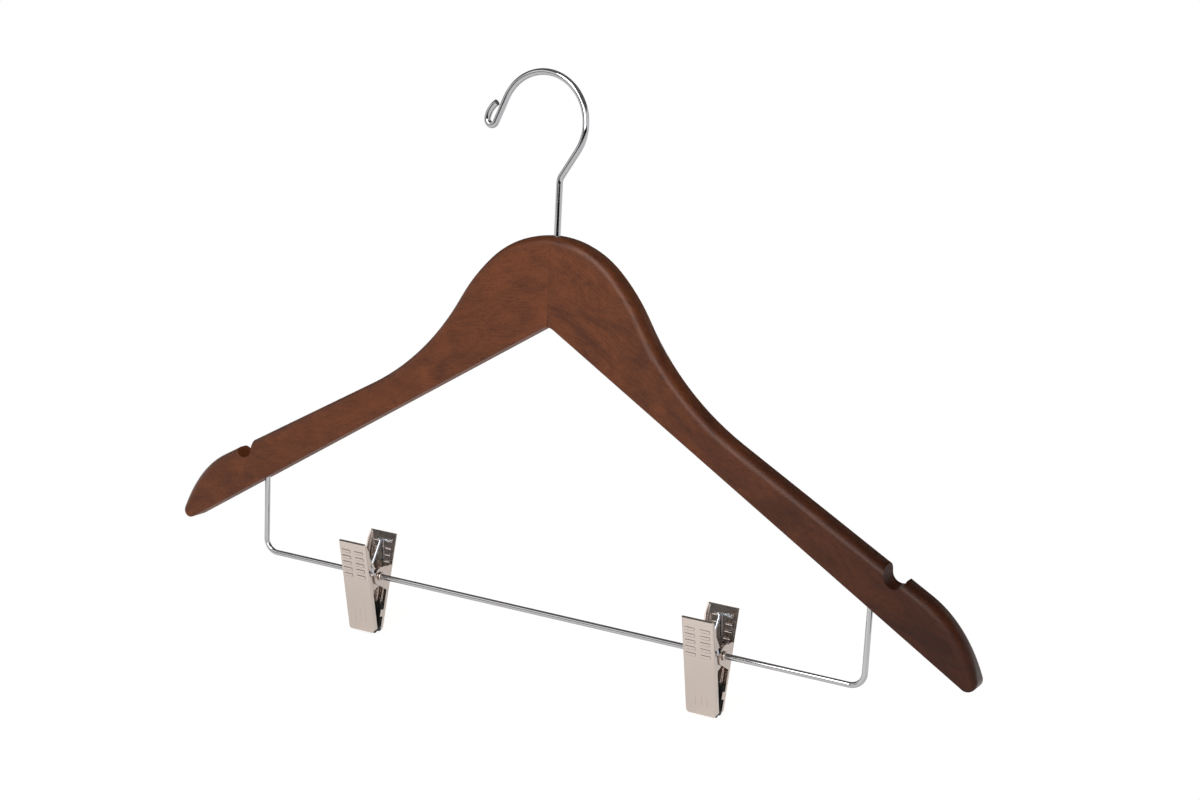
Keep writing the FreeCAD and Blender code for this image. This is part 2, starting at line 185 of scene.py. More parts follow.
class HangerWood(bpy.types.PropertyGroup):
    """Stained wood of the arms and the plug."""

    light: colour("Light stain", "Stain where the grain is pale", "794224")
    dark: colour("Dark stain", "Stain where the grain is dense", "422113")
    fleck: colour("Flecks", "Stain gathered in the pores", "29140B")
    glue: colour("Glue line", "Stained glue in the seam between the arms", "2B150D")
    lean_left: angle("Lean on the left", "Slope of the grain along the left arm", 12)
    lean_right: angle("Lean on the right", "Slope of the grain along the right arm", 30)
    figure_left: share("Figure on the left", "Contrast of the grain in the left arm", 0.55)
    figure_right: share("Figure on the right", "Contrast of the grain in the right arm", 0.65)
    cloud_length: length("Cloud length", "Length of the broad patches of tone", 30)
    cloud_width: length("Cloud width", "Width of the broad patches of tone", 14)
    streak_length: length("Streak length", "Length of one streak of grain", 7)
    streak_width: length("Streak width", "Width of one streak of grain", 1.2)
    streak_share: share("Streak share", "How much of the tone is streaks rather than clouds", 0.4)
    tone_dark: share("Dark tone", "Noise at which the wood has its dark stain", 0.35)
    tone_light: share("Light tone", "Noise at which the wood has its light stain", 0.63)
    fleck_length: length("Fleck length", "Length of one pore", 1.6)
    fleck_width: length("Fleck width", "Width of one pore, drawn coarse enough to show", 0.5)
    fleck_start: share("Fleck start", "Noise at which a pore begins", 0.5)
    fleck_full: share("Fleck full", "Noise at which a pore is darkest", 0.66)
    fleck_depth: share("Fleck depth", "How dark the pores are", 0.65)
    # Painted shade: this tint darkens the far end of the right arm, from where it starts to where
    # it is fullest, in place of the light falling off there
    painted_shade: colour(
        "Deep stain", "Tint over the far end of the right arm, whose board is darker", "A0958F")
    painted_shade_start: length("Deep start", "Place along the arms where the darker wood sets in", 20)
    painted_shade_end: length("Deep end", "Place along the arms where the wood is darkest", 200)
    seam_width: length("Seam width", "Width of the glue line, drawn coarse enough to show", 0.5)
    seam_depth: share("Seam depth", "How much of the glue shows in the seam", 0.3)
    roughness: share("Roughness", "Roughness of the satin lacquer", 0.42)
    roughness_spread: share("Roughness spread", "Change of the roughness with the grain", 0.06)
    film_roughness: share("Film roughness", "Roughness of the lacquer's top film", 0.2)
    gloss: share("Gloss", "Level of the lacquer's broad sheen", 0.2)
    relief: length("Relief", "Depth of the pores", 0.1)
    notch_place: length("Notch place", "Distance of each strap notch from the seam", 181.6)
    notch_reach: length("Notch reach", "Half the width of the dull zone in a strap notch", 6)
    notch_dull: share("Dull notch", "How much lacquer the sawn notches soak up", 0.85)
    under_dull: share("Dull underside", "How much lacquer the sawn underside soaks up", 0.9)


class HangerMetal(bpy.types.PropertyGroup):
    """Plated wire, plated sheet and spring wire."""

    chrome: colour("Chrome", "Reflection of the chromium plated wire", "B4B4B6")
    nickel: colour("Nickel", "Reflection of the nickel plated sheet", "C7BCB5")
    spring: colour("Spring steel", "Reflection of the drawn spring wire", "B9BEC6")
    brass: colour("Brass", "Reflection of the bush", "D8B26A")
    zinc: colour("Zinc", "Reflection of the nut and the washer", "C2C0BA")
    chrome_roughness: share("Chrome roughness", "Roughness of the plated wire", 0.06)
    spring_roughness: share("Spring roughness", "Roughness of the spring wire", 0.2)
    brass_roughness: share("Brass roughness", "Roughness of the turned bush", 0.25)
    zinc_roughness: share("Zinc roughness", "Roughness of the nut and the washer", 0.35)
    nickel_smooth: share("Nickel smooth", "Least roughness of the plated sheet", 0.06)
    nickel_rough: share("Nickel rough", "Most roughness of the plated sheet", 0.2)
    haze: length("Haze", "Spacing of the faint haze on drawn wire", 0.6)
    ripple: length("Ripple", "Spacing of the faint waves in the pressed sheet", 5)
    ripple_depth: length("Ripple depth", "Depth of the waves in the pressed sheet", 0.12)
    scratch: length(
        "Scratch", "Spacing of the fine rolling lines, drawn coarse enough to show", 0.4)
    scratch_length: length("Scratch length", "Length of one rolling line", 16)


class HangerClip(bpy.types.PropertyGroup):
    """Sizes of the pressed jaws that the springs and the pads fit."""

    plate: length("Plate", "Distance of a jaw plate's outer face from the pivot", 10.1)
    sheet: length("Sheet", "Thickness of the pressed sheet", 0.7)
    width: length("Width", "Width of a jaw", 16.5)
    tilt: angle("Tilt", "Lean of each jaw", 12.3)


class HangerSpring(bpy.types.PropertyGroup):
    """Torsion spring of a clip."""

    wire: length("Wire", "Thickness of the spring wire", 1.3)
    coil_radius: length("Coil radius", "Radius of the middle of the coil", 2.9)
    leg_x: length("Leg place", "Distance of each leg from the middle of the clip", 4)
    crossbar_height: length(
        "Crossbar height", "Height of each crossbar above the pivot, along the plate", 17.6)
    crossbar_end: length("Crossbar end", "Reach of each crossbar past the middle of the clip", 5)
    seat_gap: length("Seat gap", "Gap between a crossbar and its plate", 0.1)
    bend: length("Bend", "Radius of the bend between a leg and its crossbar", 1.5)
    turns: bpy.props.IntProperty(
        name="Turns", description="Whole turns of the coil", default=3)


class HangerPads(bpy.types.PropertyGroup):
    """Vinyl pads in the jaw tips."""

    vinyl: colour("Vinyl", "Colour of the moulded vinyl", "141415")
    top: length("Top", "Height of the pad's upper edge, along the plate", -14.8)
    bead: length("Bead height", "Height of the bead's middle, along the plate", -27.5)
    thickness: length("Thickness", "Thickness of the pad", 2.3)
    side_gap: length("Side gap", "Gap between a pad and the flange beside it", 0.1)
    gap: length("Gap", "Gap between the two beads of a shut clip", 0.3)
    edge: length("Edge", "Rounding of the pad's edges", 0.35)
    bloom: length("Bloom", "Spacing of the leathery bloom on the vinyl", 0.5)
    bloom_depth: length("Bloom depth", "Depth of the leathery bloom", 0.05)
    smooth: share("Smooth", "Least roughness of the vinyl", 0.35)
    rough: share("Rough", "Most roughness of the vinyl", 0.6)
    fill: share("Fill", "How full and tight a pad is", 1)


class HangerStage(bpy.types.PropertyGroup):
    """Camera, floor, lamps, and the cards and soft boxes that only reflections show."""

    azimuth: angle("Azimuth", "Camera's turn to the right of the front", 29.18)
    elevation: angle("Elevation", "Camera's height above the horizon", 11.98)
    roll: angle("Roll", "Camera's turn about its line of sight", 2.91)
    distance: length(
        "Distance", "Distance from the camera to the point that it looks at", 922.73)
    target_x: length("Target X", "Point that the camera looks at, along the arms", 37.58)
    target_z: length("Target Z", "Point that the camera looks at, in height", -148.35)
    lens: bpy.props.FloatProperty(
        name="Lens", description="Focal length on a 36 mm wide frame", unit="CAMERA",
        default=58.953)
    paper: colour("Paper", "Colour of the floor", "F4F2EF")
    floor_gap: length("Floor gap", "Distance of the floor below the clips", 3)
    floor_size: length("Floor size", "Width and depth of the pale floor", 6000)
    bounce: strength("Bounce", "Light that the bright floor throws up", 0.35)
    shadow: colour("Shadow", "Tint of the shadowed floor that the camera sees", "959390")
    shadow_glow: strength("Shadow glow", "Light in the shadow that the camera sees", 0.9)
    shadow_start: length(
        "Shadow start", "Distance from the middle at which the shadow begins to fade", 180)
    shadow_end: length(
        "Shadow end", "Distance from the middle at which the floor is plain white", 320)
    mirror: colour("Mirrored floor", "Tint of the floor in reflections", "FFFDFA")
    mirror_front: strength("Mirrored front", "Light of the floor in front, in reflections", 0.56)
    mirror_under: strength("Mirrored middle", "Light of the floor below, in reflections", 0.34)
    mirror_reach: length("Mirrored reach", "Distance from the middle to the front", 70)
    surround: strength("Surround", "Light from all round", 0.5)
    key_lamp: power("Key lamp", "Power of the large lamp in front", 3.4)
    back_lamp: power("Back lamp", "Power of the low lamp behind", 3)
    soft_box: strength("Soft box", "Light of the upper soft box in reflections", 8)
    low_box: strength("Low box", "Light of the low soft box in reflections", 6)
    fill_box: strength("Fill box", "Light of the soft box on the left in reflections", 1.4)
    black_card: colour("Black card", "Colour of the black card", "1A1817")
    grey_card: colour("Grey card", "Colour of the grey card", "7A7876")


def add_node(tree, kind, sockets=None, **settings):
    """Add one shader node with its settings, and set or link its input sockets."""
    node = tree.nodes.new(kind)
    for name, value in settings.items():
        setattr(node, name, value)
    for name, value in (sockets or {}).items():
        if isinstance(value, bpy.types.NodeSocket):
            tree.links.new(value, node.inputs[name])
        else:
            node.inputs[name].default_value = value
    return node


def new_material(name):
    """An empty material and its node tree."""
    material = bpy.data.materials.new(name)
    material.use_nodes = True
    material.node_tree.nodes.clear()
    return material, material.node_tree


def dress(node, material):
    """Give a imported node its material."""
    for slot in frame["nodes"][node].material_slots:
        slot.material = material


def grain(tree, place, lean, wood):
    """Noise at the size of the clouds, the streaks and the flecks, turned along the arm."""
    noises = {}
    for key, along, across, detail in (
        ("cloud", wood.cloud_length, wood.cloud_width, 3),
        ("streak", wood.streak_length, wood.streak_width, 4),
        ("fleck", wood.fleck_length, wood.fleck_width, 2),
    ):
        space = add_node(
            tree, "ShaderNodeMapping",
            {"Vector": place.outputs["Object"], "Rotation": (0, lean, 0),
             "Scale": (along, across, across)},
            vector_type="TEXTURE")
        noise = add_node(
            tree, "ShaderNodeTexNoise",
            {"Vector": space.outputs["Vector"], "Scale": 1, "Detail": detail,
             "Roughness": 0.6, "Distortion": 1.2})
        noises[key] = noise.outputs["Fac"]
    return noises


def stain_colour(tree, noises, along, figure, painted_shade, wood):
    """Colour of the figured wood, with a painted shade that darkens it along the arm by the given
    share.
    """
    tone = add_node(
        tree, "ShaderNodeMix",
        {"Factor": wood.streak_share, "A": noises["cloud"], "B": noises["streak"]},
        data_type="FLOAT")
    spread = add_node(
        tree, "ShaderNodeMapRange",
        {"Value": tone.outputs["Result"], "From Min": wood.tone_dark, "From Max": wood.tone_light,
         "To Min": 0.5 - figure / 2, "To Max": 0.5 + figure / 2})
    stain = add_node(
        tree, "ShaderNodeMix",
        {"Factor": spread.outputs["Result"], MIX_A: opaque(wood.dark), MIX_B: opaque(wood.light)},
        data_type="RGBA")
    fleck = add_node(
        tree, "ShaderNodeMapRange",
        {"Value": noises["fleck"], "From Min": wood.fleck_start, "From Max": wood.fleck_full,
         "To Max": wood.fleck_depth * figure})
    figured = add_node(
        tree, "ShaderNodeMix",
        {"Factor": fleck.outputs["Result"], MIX_A: stain.outputs[MIX_RESULT],
         MIX_B: opaque(wood.fleck)},
        data_type="RGBA")
    # Painted shade: the stain is multiplied by a darker tint towards the far end of the arm
    depth = add_node(
        tree, "ShaderNodeMapRange",
        {"Value": along, "From Min": wood.painted_shade_start, "From Max": wood.painted_shade_end, "To Max": painted_shade})
    board = add_node(
        tree, "ShaderNodeMix",
        {"Factor": depth.outputs["Result"], MIX_A: figured.outputs[MIX_RESULT],
         MIX_B: opaque(wood.painted_shade)},
        data_type="RGBA", blend_type="MULTIPLY")
    return board.outputs[MIX_RESULT]


def soaked_lacquer(tree, place, from_seam, wood):
    """Share of the lacquer that has soaked in: some in the notches and below, none elsewhere.

    The notches and the underside are sawn after the moulding, so their grain is open. They are
    told apart by the normal: an edge has a small Y, and the underside a Z well below 0.
    """
    normal = add_node(tree, "ShaderNodeSeparateXYZ", {"Vector": place.outputs["Normal"]})
    flat = add_node(tree, "ShaderNodeMath", {0: normal.outputs["Y"]}, operation="ABSOLUTE")
    edge = add_node(
        tree, "ShaderNodeMapRange",
        {"Value": flat.outputs[0], "From Min": 0.4, "From Max": 0.8, "To Min": 1, "To Max": 0})
    beside = add_node(
        tree, "ShaderNodeMath", {0: from_seam, 1: wood.notch_place, 2: wood.notch_reach},
        operation="COMPARE")
    notch = add_node(
        tree, "ShaderNodeMath", {0: beside.outputs[0], 1: wood.notch_dull}, operation="MULTIPLY")
    above = add_node(
        tree, "ShaderNodeMapRange",
        {"Value": normal.outputs["Z"], "From Min": -0.8, "From Max": -0.6,
         "To Max": notch.outputs[0]})
    under = add_node(
        tree, "ShaderNodeMapRange",
        {"Value": normal.outputs["Z"], "From Min": -0.1, "From Max": -0.5,
         "To Max": wood.under_dull})
    sawn = add_node(
        tree, "ShaderNodeMath", {0: above.outputs["Result"], 1: under.outputs["Result"]},
        operation="MAXIMUM")
    soaked = add_node(
        tree, "ShaderNodeMath", {0: sawn.outputs[0], 1: edge.outputs["Result"]},
        operation="MULTIPLY")
    return soaked.outputs[0]


def walnut(name, lean, figure, painted_shade, wood):
    # Hardwood under walnut stain and a sprayed satin lacquer: cloudy patches of tone, soft streaks
    # and short dark pores along the arm, and a broad sheen that brightens the rounded edges
    material, tree = new_material(name)
    place = add_node(tree, "ShaderNodeTexCoord")
    axes = add_node(tree, "ShaderNodeSeparateXYZ", {"Vector": place.outputs["Object"]})
    noises = grain(tree, place, lean, wood)
    # The stain carries a painted shade that darkens the far end of the right arm
    stain = stain_colour(tree, noises, axes.outputs["X"], figure, painted_shade, wood)
    beside = add_node(
        tree, "ShaderNodeMath", {0: axes.outputs["X"], 1: SEAM_X}, operation="SUBTRACT")
    from_seam = add_node(tree, "ShaderNodeMath", {0: beside.outputs[0]}, operation="ABSOLUTE")
    seam = add_node(
        tree, "ShaderNodeMapRange",
        {"Value": from_seam.outputs[0], "From Min": wood.seam_width / 4,
         "From Max": wood.seam_width / 2, "To Min": wood.seam_depth, "To Max": 0})
    surface = add_node(
        tree, "ShaderNodeMix",
        {"Factor": seam.outputs["Result"], MIX_A: stain, MIX_B: opaque(wood.glue)},
        data_type="RGBA")
    satin = add_node(
        tree, "ShaderNodeMapRange",
        {"Value": noises["streak"], "To Min": wood.roughness - wood.roughness_spread,
         "To Max": wood.roughness + wood.roughness_spread})
    relief = add_node(
        tree, "ShaderNodeBump",
        {"Height": noises["fleck"], "Strength": 0.08, "Distance": wood.relief})
    soaked = soaked_lacquer(tree, place, from_seam.outputs[0], wood)
    film = add_node(tree, "ShaderNodeMapRange", {"Value": soaked, "To Min": 1, "To Max": 0})
    gloss = add_node(
        tree, "ShaderNodeMapRange", {"Value": soaked, "To Min": wood.gloss, "To Max": 0})
    shader = add_node(
        tree, "ShaderNodeBsdfPrincipled",
        {"Base Color": surface.outputs[MIX_RESULT], "Roughness": satin.outputs["Result"],
         "Normal": relief.outputs["Normal"], "IOR": 1.45,
         "Specular IOR Level": gloss.outputs["Result"], "Coat Weight": film.outputs["Result"],
         "Coat IOR": 1.08, "Coat Roughness": wood.film_roughness})
    add_node(tree, "ShaderNodeOutputMaterial", {"Surface": shader.outputs["BSDF"]})
    return material


def bright_metal(name, rgb, roughness, metal):
    # Drawn or turned metal, bare or plated: chromium on polished wire is a clear mirror, and spring
    # wire, brass and zinc are duller ones, each under the faintest haze
    material, tree = new_material(name)
    place = add_node(tree, "ShaderNodeTexCoord")
    space = add_node(
        tree, "ShaderNodeMapping",
        {"Vector": place.outputs["Object"], "Scale": (metal.haze, metal.haze, metal.haze)},
        vector_type="TEXTURE")
    haze = add_node(
        tree, "ShaderNodeTexNoise", {"Vector": space.outputs["Vector"], "Scale": 1, "Detail": 3})
    dull = add_node(
        tree, "ShaderNodeMapRange",
        {"Value": haze.outputs["Fac"], "To Min": roughness * HAZE_LEAST,
         "To Max": roughness * HAZE_MOST})
    shader = add_node(
        tree, "ShaderNodeBsdfPrincipled",
        {"Base Color": opaque(rgb), "Metallic": 1, "Roughness": dull.outputs["Result"]})
    add_node(tree, "ShaderNodeOutputMaterial", {"Surface": shader.outputs["BSDF"]})
    return material


def plated_sheet(name, metal):
    # Pressed steel sheet, nickel plated: a bright mirror with slow ripples from the press
    # and fine upright rolling lines
    material, tree = new_material(name)
    place = add_node(tree, "ShaderNodeTexCoord")
    ripple_space = add_node(
        tree, "ShaderNodeMapping",
        {"Vector": place.outputs["Object"], "Scale": (metal.ripple, metal.ripple, metal.ripple)},
        vector_type="TEXTURE")
    ripple = add_node(
        tree, "ShaderNodeTexNoise",
        {"Vector": ripple_space.outputs["Vector"], "Scale": 1, "Detail": 1})
    line_space = add_node(
        tree, "ShaderNodeMapping",
        {"Vector": place.outputs["Object"],
         "Scale": (metal.scratch, metal.scratch, metal.scratch_length)},
        vector_type="TEXTURE")
    lines = add_node(
        tree, "ShaderNodeTexNoise",
        {"Vector": line_space.outputs["Vector"], "Scale": 1, "Detail": 2})
    dull = add_node(
        tree, "ShaderNodeMapRange",
        {"Value": lines.outputs["Fac"], "To Min": metal.nickel_smooth,
         "To Max": metal.nickel_rough})
    waves = add_node(
        tree, "ShaderNodeBump",
        {"Height": ripple.outputs["Fac"], "Strength": 0.25, "Distance": metal.ripple_depth})
    shader = add_node(
        tree, "ShaderNodeBsdfPrincipled",
        {"Base Color": opaque(metal.nickel), "Metallic": 1, "Roughness": dull.outputs["Result"],
         "Normal": waves.outputs["Normal"]})
    add_node(tree, "ShaderNodeOutputMaterial", {"Surface": shader.outputs["BSDF"]})
    return material


def moulded_vinyl(pads):
    # Moulded black vinyl: a soft sheen over a fine leathery bloom
    material, tree = new_material("moulded_vinyl")
    place = add_node(tree, "ShaderNodeTexCoord")
    space = add_node(
        tree, "ShaderNodeMapping",
        {"Vector": place.outputs["Object"], "Scale": (pads.bloom, pads.bloom, pads.bloom)},
        vector_type="TEXTURE")
    bloom = add_node(
        tree, "ShaderNodeTexNoise", {"Vector": space.outputs["Vector"], "Scale": 1, "Detail": 3})
    dull = add_node(
        tree, "ShaderNodeMapRange",
        {"Value": bloom.outputs["Fac"], "To Min": pads.smooth, "To Max": pads.rough})
    relief = add_node(
        tree, "ShaderNodeBump",
        {"Height": bloom.outputs["Fac"], "Strength": 0.3, "Distance": pads.bloom_depth})
    shader = add_node(
        tree, "ShaderNodeBsdfPrincipled",
        {"Base Color": opaque(pads.vinyl), "Roughness": dull.outputs["Result"],
         "Normal": relief.outputs["Normal"], "IOR": 1.53})
    add_node(tree, "ShaderNodeOutputMaterial", {"Surface": shader.outputs["BSDF"]})
    return material


class HANGER_OT_wood(bpy.types.Operator):
    """Stain and lacquer the two arms and the plug under the head"""

    bl_idname = "hanger.wood"
    bl_label = "Finish the wood"

    def execute(self, context):
        wood = context.scene.hanger_wood
        # Only the right arm gets the painted shade at its far end
        for node, name, lean, figure, painted_shade in (
            ("left_arm", "stained_wood_left", -wood.lean_left, wood.figure_left, 0),
            ("right_arm", "stained_wood_right", wood.lean_right, wood.figure_right, 1),
            ("head_plug", "stained_wood_plug", math.pi / 2, wood.figure_left, 0),
        ):
            dress(node, walnut(name, lean, figure, painted_shade, wood))
        return {"FINISHED"}


class HANGER_OT_wire(bpy.types.Operator):
    """Plate the hook and the drop bar, and finish what holds the hook"""

    bl_idname = "hanger.wire"
    bl_label = "Finish the wire"

    def execute(self, context):
        metal = context.scene.hanger_metal
        for name, rgb, roughness, nodes in (
            ("chrome_plated_wire", metal.chrome, metal.chrome_roughness, ("hook", "drop_bar")),
            ("turned_brass", metal.brass, metal.brass_roughness, ("hook_bush",)),
            ("zinc_plated_steel", metal.zinc, metal.zinc_roughness, ("hook_nut", "hook_washer")),
        ):
            material = bright_metal(name, rgb, roughness, metal)
            for node in nodes:
                dress(node, material)
        return {"FINISHED"}


class HANGER_OT_jaws(bpy.types.Operator):
    """Plate the jaws and the hollow rivets of the clips"""

    bl_idname = "hanger.jaws"
    bl_label = "Finish the clips"

    def execute(self, context):
        nickel = plated_sheet("nickel_plated_sheet", context.scene.hanger_metal)
        for side in SIDES:
            for piece in ("back_jaw", "front_jaw", "pivot_tube"):
                dress(side + "_" + piece, nickel)
        return {"FINISHED"}


def add_object(name, mesh, material):
    """Turn a finished bmesh into an object of one material."""
    data = bpy.data.meshes.new(name)
    mesh.to_mesh(data)
    mesh.free()
    data.materials.append(material)
    piece = bpy.data.objects.new(name, data)
    bpy.context.scene.collection.objects.link(piece)
    return piece


def finish_piece(name, mesh, material, replaced):
    """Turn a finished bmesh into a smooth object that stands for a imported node."""
    piece = add_object(name, mesh, material)
    for face in piece.data.polygons:
        face.use_smooth = True
    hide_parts(replaced)
    return piece


class Wire:
    """A round wire drawn out from a ring of edges, by straight runs and turns."""

    def __init__(self, radius, start, heading):
        self.mesh = bmesh.new()
        aim = Vector((0, 0, 1)).rotation_difference(heading).to_matrix().to_4x4()
        made = bmesh.ops.create_circle(
            self.mesh, cap_ends=True, segments=WIRE_SIDES, radius=radius,
            matrix=Matrix.Translation(start) @ aim)
        self.ring = list({edge for vert in made["verts"] for edge in vert.link_edges})

    def run(self, step):
        """Draw the ring straight along a step."""
        made = bmesh.ops.extrude_edge_only(self.mesh, edges=self.ring)["geom"]
        verts = [item for item in made if isinstance(item, bmesh.types.BMVert)]
        bmesh.ops.translate(self.mesh, verts=verts, vec=step)
        self.ring = [item for item in made if isinstance(item, bmesh.types.BMEdge) and
                     all(vert in verts for vert in item.verts)]

    def turn(self, centre, axis, turn, steps, advance=Vector()):
        """Draw the ring round an axis, moving along it by an advance on the way."""
        made = bmesh.ops.spin(
            self.mesh, geom=self.ring, cent=centre, axis=axis, dvec=advance / steps, angle=turn,
            steps=steps, use_merge=False, use_duplicate=False)["geom_last"]
        self.ring = [item for item in made if isinstance(item, bmesh.types.BMEdge)]

    def close(self):
        """Cap the free end and turn all faces outwards."""
        bmesh.ops.contextual_create(self.mesh, geom=self.ring)
        bmesh.ops.recalc_face_normals(self.mesh, faces=self.mesh.faces)
        return self.mesh


def wind_spring(size, clip, pivot):
    """Crossbar, leg, coil, leg and crossbar, drawn as one wire about the pivot."""
    along = Vector((1, 0, 0))
    out = clip.plate - clip.sheet - size.wire / 2 - size.seat_gap
    seat_y = out * math.cos(clip.tilt) + size.crossbar_height * math.sin(clip.tilt)
    seat_z = size.crossbar_height * math.cos(clip.tilt) - out * math.sin(clip.tilt)
    reach = math.hypot(seat_y, seat_z)
    touch = math.atan2(seat_z, seat_y) - math.acos(size.coil_radius / reach)
    sweep = math.pi + 2 * touch + 2 * math.pi * size.turns
    leg = math.sqrt(reach ** 2 - size.coil_radius ** 2)
    down = Vector((0, math.sin(touch), -math.cos(touch)))
    up = Vector((0, down.y, -down.z))
    corner = pivot + Vector((-size.leg_x, seat_y, seat_z))
    bar = size.crossbar_end + size.leg_x - size.bend
    wire = Wire(size.wire / 2, corner + along * (size.bend + bar), -along)
    wire.run(-along * bar)
    bend = corner + (along + down) * size.bend
    wire.turn(bend, along.cross(down), math.pi / 2, BEND_STEPS)
    wire.run(down * (leg - size.bend))
    wire.turn(pivot, -along, sweep, COIL_STEPS, advance=along * 2 * size.leg_x)
    wire.run(up * (leg - size.bend))
    far = pivot + Vector((size.leg_x, -seat_y, seat_z))
    bend = far - along * size.bend - up * size.bend
    wire.turn(bend, along.cross(up), -math.pi / 2, BEND_STEPS)
    wire.run(-along * bar)
    return wire.close()


class HANGER_OT_springs(bpy.types.Operator):
    """Wind the torsion spring of each clip"""

    bl_idname = "hanger.springs"
    bl_label = "Wind the springs"

    def execute(self, context):
        size = context.scene.hanger_spring
        metal = context.scene.hanger_metal
        clip = context.scene.hanger_clip
        steel = bright_metal("drawn_spring_steel", metal.spring, metal.spring_roughness, metal)
        for side in SIDES:
            pivot = Vector(JOINTS[side + "_clip_open"]["pos_m"])
            mesh = wind_spring(size, clip, pivot)
            piece = finish_piece(
                side + "_spring_wire", mesh, steel, side + "_spring")
            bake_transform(piece)
        return {"FINISHED"}


def mould_pad(size, clip):
    """A slab against the plate's inner face, with a bead along its lower edge."""
    mesh = bmesh.new()
    inside = clip.plate - clip.sheet
    half_width = clip.width / 2 - clip.sheet - size.side_gap
    level = inside * math.cos(clip.tilt) + size.bead * math.sin(clip.tilt)
    bead = (level - size.gap / 2) / (1 + math.cos(clip.tilt))
    middle = Vector((0, inside - size.thickness / 2, (size.top + size.bead) / 2))
    slab = bmesh.ops.create_cube(
        mesh, size=1, matrix=Matrix.Translation(middle) @ Matrix.Diagonal(
            (2 * half_width, size.thickness, size.top - size.bead, 1)))
    edges = list({edge for vert in slab["verts"] for edge in vert.link_edges})
    bmesh.ops.bevel(
        mesh, geom=edges, offset=size.edge, segments=EDGE_STEPS, profile=0.5, affect="EDGES",
        material=-1)
    spot = Matrix.Translation((0, inside - bead, size.bead)) @ Matrix.Rotation(
        math.pi / 2, 4, "Y")
    roll = bmesh.ops.create_cone(
        mesh, cap_ends=True, segments=BEAD_SIDES, radius1=bead, radius2=bead,
        depth=2 * half_width, matrix=spot)
    rims = [edge for edge in {edge for vert in roll["verts"] for edge in vert.link_edges}
            if any(len(face.verts) > 4 for face in edge.link_faces)]
    bmesh.ops.bevel(
        mesh, geom=rims, offset=size.edge, segments=EDGE_STEPS, profile=0.5, affect="EDGES",
        material=-1)
    bmesh.ops.recalc_face_normals(mesh, faces=mesh.faces)
    return mesh


class HANGER_OT_pads(bpy.types.Operator):
    """Mould the vinyl pads in the jaw tips"""

    bl_idname = "hanger.pads"
    bl_label = "Mould the pads"

    def execute(self, context):
        size = context.scene.hanger_pads
        clip = context.scene.hanger_clip
        vinyl = moulded_vinyl(size)
        lean = Matrix.Rotation(-clip.tilt, 4, "X")
        for side in SIDES:
            pivot = Vector(JOINTS[side + "_clip_open"]["pos_m"])
            for place, turn in (("back", 0), ("front", math.pi)):
                mesh = mould_pad(size, clip)
                spot = Matrix.Translation(pivot) @ Matrix.Rotation(turn, 4, "Z") @ lean
                bmesh.ops.transform(mesh, matrix=spot, verts=mesh.verts)
                node = side + "_" + place + "_pad"
                piece = finish_piece(node + "_vinyl", mesh, vinyl, node)
                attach(piece, side + "_" + place)
        return {"FINISHED"}


def plane(name, size_x, size_y, place, material):
    """A flat stage piece, made by bmesh and placed in its mesh."""
    mesh = bmesh.new()
    bmesh.ops.create_grid(
        mesh, x_segments=1, y_segments=1, size=0.5,
        matrix=place @ Matrix.Diagonal((size_x, size_y, 1, 1)))
    piece = add_object(name, mesh, material)
    return piece


def only_reflected(piece):
    """Leave a stage piece out of all but reflections."""
    piece.visible_camera = False
    piece.visible_diffuse = False
    piece.visible_transmission = False
    piece.visible_shadow = False


def floor_level(stage):
    """Height of the floor under the clips."""
    return CAD_BOX[0].z - stage.floor_gap


def background_rays(tree):
    """Output that is 1 for rays from the camera and for those that metal and glass send on."""
    paths = add_node(tree, "ShaderNodeLightPath")
    seen = add_node(
        tree, "ShaderNodeMath",
        {0: paths.outputs["Is Camera Ray"], 1: paths.outputs["Is Glossy Ray"]},
        operation="MAXIMUM")
    seen = add_node(
        tree, "ShaderNodeMath",
        {0: seen.outputs[0], 1: paths.outputs["Is Transmission Ray"]}, operation="MAXIMUM")
    return seen.outputs[0]


